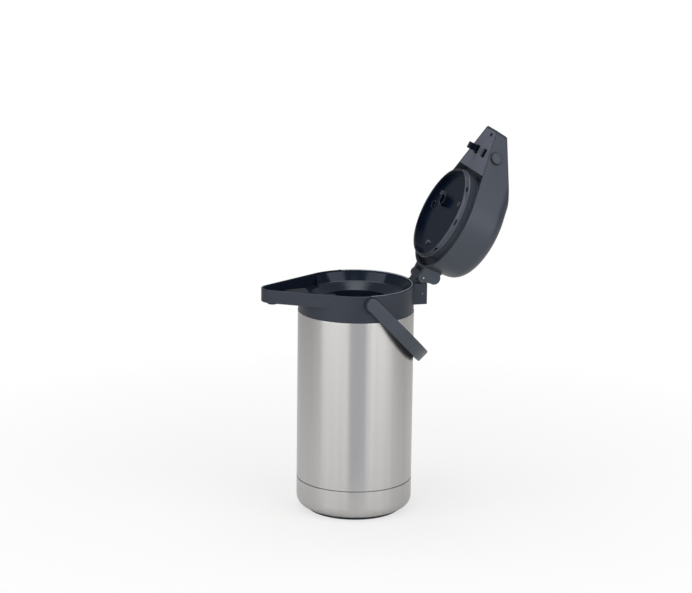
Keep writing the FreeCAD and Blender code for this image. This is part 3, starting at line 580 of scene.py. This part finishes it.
# %% A slot on each screw
SCREWS = 3
SCREW_CIRCLE_R = 44.0
SCREW_TOP = PLUG_LOW + 5.0
slots, given = new_tree("screw_slots", {"Count": COUNT, "Radius": SIZE, "Finish": FINISH})
circle = node(slots, "GeometryNodeMeshCircle", links={
    "Vertices": given.outputs["Count"], "Radius": given.outputs["Radius"]})
shape = node(slots, "GeometryNodeObjectInfo", {"Object": slot_shape})
placed = node(slots, "GeometryNodeInstanceOnPoints", links={
    "Points": circle.outputs["Mesh"], "Instance": shape.outputs["Geometry"]})
end_tree(slots, given, placed.outputs["Instances"])
slot_shade_mesh = grow(slots, {"Count": SCREWS, "Radius": SCREW_CIRCLE_R * MM, "Finish": rubber})
bpy.data.objects.remove(slot_shape)
quarter = Matrix.Rotation(math.radians(90), 4, "Z")
slot_shade_mesh.transform(opened @ Matrix.Translation((0, 0, SCREW_TOP * MM)) @ quarter)
# Painted shade: black bars stand in for the shadowed hollows of the cross slots.
keep("screw_slots", slot_shade_mesh, "lid", rubber)
print("screw slot faces:", len(slot_shade_mesh.polygons))

# %% [markdown]
# ## The pump's bellows
# Inside the lid a rubber bellows stands between the plug and the button. It shortens when the
# button goes down; here it is made as a folded ring in place of the rigid solid. The bellows
# is a ring whose radius swings in and out five times, with a second line inside it for the wall.

# %% Bellows
PUMP_LOW = 310.8
PUMP_HIGH = 356.0
PUMP_TALL = PUMP_HIGH - PUMP_LOW
FOLDS = 5
FOLD_STEPS = 10
FOLD_MIDDLE_R = 38.5
FOLD_DEEP = 4.5
BELLOWS_WALL = 1.4
steps = FOLDS * FOLD_STEPS
outside = [(FOLD_MIDDLE_R - FOLD_DEEP * math.cos(2 * math.pi * k / FOLD_STEPS),
            PUMP_LOW + PUMP_TALL * k / steps) for k in range(steps + 1)]
within = [(r - BELLOWS_WALL, h) for r, h in reversed(outside)]
folded = ring(outside + within, steps=64, where=opened)
bellows = keep("bellows_folds", folded, "lid", rubber)
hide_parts("bellows")
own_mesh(bellows)

# %% [markdown]
# ## The button's guide
# A plain sleeve stands round the bellows and guides the button. It is a ring with four corners, and
# it also closes the view into the hollow lid past the pressed button.

# %% Button guide
GUIDE_BORE = 46.9
GUIDE_OUTSIDE = 48.4
GUIDE_LOW = 323.2
GUIDE_HIGH = 356.6
guide = [(GUIDE_BORE, GUIDE_LOW), (GUIDE_OUTSIDE, GUIDE_LOW), (GUIDE_OUTSIDE, GUIDE_HIGH),
         (GUIDE_BORE, GUIDE_HIGH)]
keep("button_guide", ring(guide, steps=96, where=opened), "lid", charcoal)
print("guide is", round(GUIDE_HIGH - GUIDE_LOW, 1), "mm tall")

# %% [markdown]
# ## Springs
# A wire spring is a spiral with a round wire swept along it. Four sizes describe it: its turns, its
# radius, its height and the radius of its wire. One tree with those inputs makes the big
# spring under the button and the small one behind the latch.

# %% A tree for wire
wire_tree, given = new_tree("wire_spring", {
    "Turns": SIZE, "Radius": SIZE, "Height": SIZE, "Wire": SIZE, "Finish": FINISH})
spiral = node(wire_tree, "GeometryNodeCurveSpiral", {"Resolution": 40}, {
    "Rotations": given.outputs["Turns"], "Start Radius": given.outputs["Radius"],
    "End Radius": given.outputs["Radius"], "Height": given.outputs["Height"]})
section = node(wire_tree, "GeometryNodeCurvePrimitiveCircle", {"Resolution": 10},
               {"Radius": given.outputs["Wire"]})
swept = node(wire_tree, "GeometryNodeCurveToMesh", {"Fill Caps": True}, {
    "Curve": spiral.outputs["Curve"], "Profile Curve": section.outputs["Curve"]})
smooth = node(wire_tree, "GeometryNodeSetShadeSmooth", links={"Geometry": swept.outputs["Mesh"]})
end_tree(wire_tree, given, smooth.outputs["Geometry"])
print("nodes in the wire tree:", len(wire_tree.nodes))

# %% [markdown]
# ## The button's spring
# The big spring stands inside the bellows and lifts the button again. Its wire ends just clear of
# what it stands between.

# %% The button's spring
COIL_TURNS = 5.0
COIL_R = 30.0
COIL_WIRE = 1.1
COIL_END = 1.1 * COIL_WIRE
coil = grow(wire_tree, {
    "Turns": COIL_TURNS, "Radius": COIL_R * MM, "Height": (PUMP_TALL - 2 * COIL_END) * MM,
    "Wire": COIL_WIRE * MM, "Finish": pin_steel})
coil.transform(opened @ Matrix.Translation((0, 0, (PUMP_LOW + COIL_END) * MM)))
return_spring = keep("return_coil", coil, "lid", pin_steel)
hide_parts("return_spring")
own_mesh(return_spring)
print("spring faces:", len(coil.polygons))

# %% [markdown]
# ## The latch's spring
# The small spring lies across the lid's nose and pushes the latch button out. It comes from the same
# tree with smaller sizes, laid on its side.

# %% The latch's spring
LATCH_COIL = 8.5
LATCH_COIL_TURNS = 6.0
LATCH_COIL_R = 2.1
LATCH_WIRE = 0.35
LATCH_END = 0.4
latch_foot = Vector((-28.0, -96.0, 321.8)) * MM
latch_coil = grow(wire_tree, {
    "Turns": LATCH_COIL_TURNS, "Radius": LATCH_COIL_R * MM,
    "Height": (LATCH_COIL - 2 * LATCH_END) * MM, "Wire": LATCH_WIRE * MM, "Finish": pin_steel})
coil_start = latch_foot + Vector((LATCH_END * MM, 0, 0))
latch_coil.transform(opened @ Matrix.Translation(coil_start) @ sideways)
latch_spring = keep("latch_coil", latch_coil, "lid", pin_steel)
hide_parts("latch_spring")
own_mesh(latch_spring)
print("latch spring faces:", len(latch_coil.polygons))

# %% [markdown]
# ## The rim's edge and its painted highlight
# The back half of the collar's rim has a rounded, polished inner edge, painted pale so that its
# colour is a painted highlight that draws a thin light line. Half a turn of the same spiral, with
# no rise, is exactly that edge.

# %% Rim edge
RIM_EDGE_R = 75.0
RIM_EDGE_ROUND = 0.6
RIM_EDGE_SUNK = 0.3
RIM_EDGE_TURNS = 0.5
# Edge: smooth and glossy, with a pale colour that is a painted highlight drawing one pale line.
edge_painted_highlight = moulded("charcoal_abs_polished_edge", "#8d939c", roughness=0.12, grain_mm=1.0, grain=0.02,
                     ior=1.7)
edge = grow(wire_tree, {
    "Turns": RIM_EDGE_TURNS, "Radius": RIM_EDGE_R * MM, "Height": 0.0, "Wire": RIM_EDGE_ROUND * MM,
    "Finish": edge_painted_highlight})
half_turn = Matrix.Rotation(math.pi, 4, "Z")
edge.transform(Matrix.Translation((0, 0, (RIM_HEIGHT - RIM_EDGE_SUNK) * MM)) @ half_turn)
keep("rim_edge", edge, "pot", edge_painted_highlight)
print("rim edge reaches forward to y, mm:", round(min(v.co.y for v in edge.vertices) / MM, 1))

# %% [markdown]
# ## The pipe's cover in the nose
# A low moulded box covers the pipe where it comes up out of the funnel. It is a block with every
# edge eased by a bevel and a top that falls towards the tip.

# %% Pipe cover
COVER_SIZE = (25.0, 28.0, 10.4)
COVER_FALL = 1.2
COVER_EASE = 1.2
COVER_SPOT = (5.0, -82.5, RIM_HEIGHT - 9.8)
work = bmesh.new()
bmesh.ops.create_cube(work, size=1.0)
bmesh.ops.scale(work, verts=work.verts, vec=Vector(COVER_SIZE) * MM)
for vert in work.verts:
    if vert.co.z > 0 and vert.co.y < 0:
        vert.co.z -= COVER_FALL * MM
bmesh.ops.bevel(work, geom=list(work.edges), offset=COVER_EASE * MM, segments=3, profile=0.5,
                affect="EDGES")
cover = to_mesh(work)
cover.transform(Matrix.Translation(Vector(COVER_SPOT) * MM))
keep("pipe_cover", cover, "pot", black_gloss)
print("pipe cover faces:", len(cover.polygons))

# %% [markdown]
# ## Floor
# The pot stands on a pale sheet. Lit alone it would turn grey towards the edges, so it also shows
# plain white to the camera: less of it near the pot, where the soft shadow has to stay, and
# only white further out. The steel mirrors just a small share of that white, because a floor
# that glowed in it would wash out its darker sides.

# %% Floor
# Metres: the sheet's width, and how far from the axis the shadow starts to fade and is gone.
FLOOR_WIDE = 40.0
SHADOW_NEAR = 0.15
SHADOW_FAR = 0.8
WHITE_NEAR = 0.65
WHITE_FAR = 1.0
MIRRORED_SHARE = 0.05
bpy.ops.mesh.primitive_plane_add(size=FLOOR_WIDE, location=(0, 0, 0))
floor = bpy.context.object
floor.name = "floor"
# Floor: matt paper that fades to pure white.
paper, tree, shader = new_material("white_paper_floor", {
    "Base Color": colour("#f2f2f0"), "Roughness": 0.9})
rays = node(tree, "ShaderNodeLightPath")
place = node(tree, "ShaderNodeTexCoord")
away = node(tree, "ShaderNodeVectorMath", links={0: place.outputs["Object"]}, operation="LENGTH")
fade = node(tree, "ShaderNodeMapRange", {
    "From Min": SHADOW_NEAR, "From Max": SHADOW_FAR, "To Min": WHITE_NEAR, "To Max": WHITE_FAR},
    {"Value": away.outputs["Value"]})
mirrored = node(tree, "ShaderNodeMath", {1: MIRRORED_SHARE}, {0: rays.outputs["Is Glossy Ray"]},
                operation="MULTIPLY")
looked_at = node(tree, "ShaderNodeMath", links={
    0: rays.outputs["Is Camera Ray"], 1: mirrored.outputs[0]}, operation="MAXIMUM")
amount = node(tree, "ShaderNodeMath", links={0: fade.outputs["Result"], 1: looked_at.outputs[0]},
              operation="MULTIPLY")
shine = node(tree, "ShaderNodeEmission", {"Color": colour("#ffffff"), "Strength": 1.0})
share = node(tree, "ShaderNodeMixShader", links={
    0: amount.outputs[0], 1: shader.outputs["BSDF"], 2: shine.outputs["Emission"]})
tree.links.new(share.outputs["Shader"], tree.nodes["Material Output"].inputs["Surface"])
floor.data.materials.append(paper)
print("floor, metres across:", FLOOR_WIDE)

# %% [markdown]
# ## Room light
# A weak, slightly blue light comes from all sides and fills the shadows. The camera sees white in
# its place, so the background stays white from every side.

# %% World
WORLD_FILL = 0.18
scene.view_settings.view_transform = "Standard"
world = bpy.data.worlds.new("studio")
scene.world = world
world.use_nodes = True
sky = world.node_tree.nodes["Background"]
sky.inputs["Color"].default_value = colour("#f9fcff")
rays = node(world.node_tree, "ShaderNodeLightPath")
seen = node(world.node_tree, "ShaderNodeMath", {1: 1 - WORLD_FILL, 2: WORLD_FILL},
            {0: rays.outputs["Is Camera Ray"]}, operation="MULTIPLY_ADD")
world.node_tree.links.new(seen.outputs[0], sky.inputs["Strength"])
print("room light:", WORLD_FILL)

# %% [markdown]
# ## Lamps
# Two tall soft boxes stand left and right of the camera and a third hangs above. Brushed steel
# draws each of the tall ones as a broad upright band, so their width and turn set
# where the body is light and where it falls off at its sides.

# %% Soft boxes
# The camera's line, turned from the pot's right-hand side towards its nose.
VIEW_TURN = math.radians(15.608)
# The point that the lamps face, in metres.
LAMP_AIM = Vector((0, 0, 0.22))
toward_camera = Vector((math.cos(VIEW_TURN), -math.sin(VIEW_TURN), 0))


def turned_from_camera(side_deg):
    """The level direction that lies side_deg from the camera's own."""
    return Matrix.Rotation(math.radians(side_deg), 3, "Z") @ toward_camera


def soft_box(name, side_deg, distance, height, width, tall, watts):
    """A panel of light that faces the pot. Sizes are in metres."""
    data = bpy.data.lights.new(name, "AREA")
    data.shape = "RECTANGLE"
    data.size = width
    data.size_y = tall
    data.energy = watts
    lamp = bpy.data.objects.new(name, data)
    lamp.location = turned_from_camera(side_deg) * distance + Vector((0, 0, height))
    lamp.rotation_euler = (LAMP_AIM - lamp.location).to_track_quat("-Z", "Y").to_euler()
    scene.collection.objects.link(lamp)


soft_box("soft_box_left", side_deg=-41, distance=1.6, height=0.9, width=1.95, tall=1.8, watts=20.5)
soft_box("soft_box_right", side_deg=49, distance=1.6, height=0.9, width=1.75, tall=1.8, watts=18.5)
soft_box("soft_box_top", side_deg=180, distance=0.4, height=2.0, width=1.6, tall=1.6, watts=18)

# %% [markdown]
# ## The darker strip on the steel
# The steel shows one darker strip down its middle. It isn't painted on: the steel mirrors something
# darker between the lights. A narrow grey card in front of the pot does the same. Only reflections
# see it: it is hidden from the camera, casts no shadow and sheds no light on matt pieces.

# %% Grey card
# Degrees from the camera's line.
CARD_SIDE = 4.7
# Metres: how far out from the axis, how high its middle is, how wide and how tall.
CARD_OUT = 0.2
CARD_HEIGHT = 0.305
CARD_WIDE = 0.095
CARD_TALL = 0.6
card_way = turned_from_camera(CARD_SIDE)
bpy.ops.mesh.primitive_plane_add(size=1.0)
card = bpy.context.object
card.name = "dark_card"
card.data.transform(Matrix.Diagonal((CARD_WIDE, CARD_TALL, 1, 1)))
card.data.transform(card_way.to_track_quat("Z", "Y").to_matrix().to_4x4())
card.data.transform(Matrix.Translation(card_way * CARD_OUT + Vector((0, 0, CARD_HEIGHT))))
# Card: an even grey, whatever light falls on it.
grey_card = new_material("grey_card", {
    "Base Color": colour("#000000"), "Roughness": 1.0, "Emission Color": colour("#cecfd5"),
    "Emission Strength": 1.0})[0]
card.data.materials.append(grey_card)
card.visible_camera = False
card.visible_shadow = False
card.visible_diffuse = False
print("card, metres:", CARD_WIDE, "by", CARD_TALL)

# %% [markdown]
# ## Camera
# The photograph was taken with a long lens from a little above, looking at the pot's right-hand
# side. A camera fitted to the ellipses of the foot, the seam and the rim gives its turn, lift
# and roll. The focal length is kept in pixels of the 692 pixel wide picture, and the scale at the
# pot then gives the distance.

# %% Camera
LIFT = math.radians(14.246)
ROLL = math.radians(0.683)
PICTURE_WIDE_PX = 692
FOCUS_PX = 2735.0
PX_PER_MM = 0.7455
SENSOR_WIDE = 36.0
TARGET_RIGHT = -13.494
TARGET_HEIGHT = 293.85
# Metres: nothing further off is drawn.
FAR_LIMIT = 100.0
distance = FOCUS_PX / PX_PER_MM * MM
right = Vector((math.sin(VIEW_TURN), math.cos(VIEW_TURN), 0))
target = right * (TARGET_RIGHT * MM) + Vector((0, 0, TARGET_HEIGHT * MM))
back = toward_camera * math.cos(LIFT) + Vector((0, 0, math.sin(LIFT)))
up = back.cross(right)
lens_right = right * math.cos(ROLL) + up * math.sin(ROLL)
lens_up = up * math.cos(ROLL) - right * math.sin(ROLL)
camera_data = bpy.data.cameras.new("camera")
camera_data.sensor_width = SENSOR_WIDE
camera_data.lens = FOCUS_PX / PICTURE_WIDE_PX * SENSOR_WIDE
camera_data.clip_end = FAR_LIMIT
camera = bpy.data.objects.new("camera", camera_data)
facing_pot = Matrix((lens_right, lens_up, back)).transposed().to_4x4()
camera.matrix_world = Matrix.Translation(target + back * distance) @ facing_pot
scene.collection.objects.link(camera)
scene.camera = camera
print("camera distance, m:", round(distance, 3))
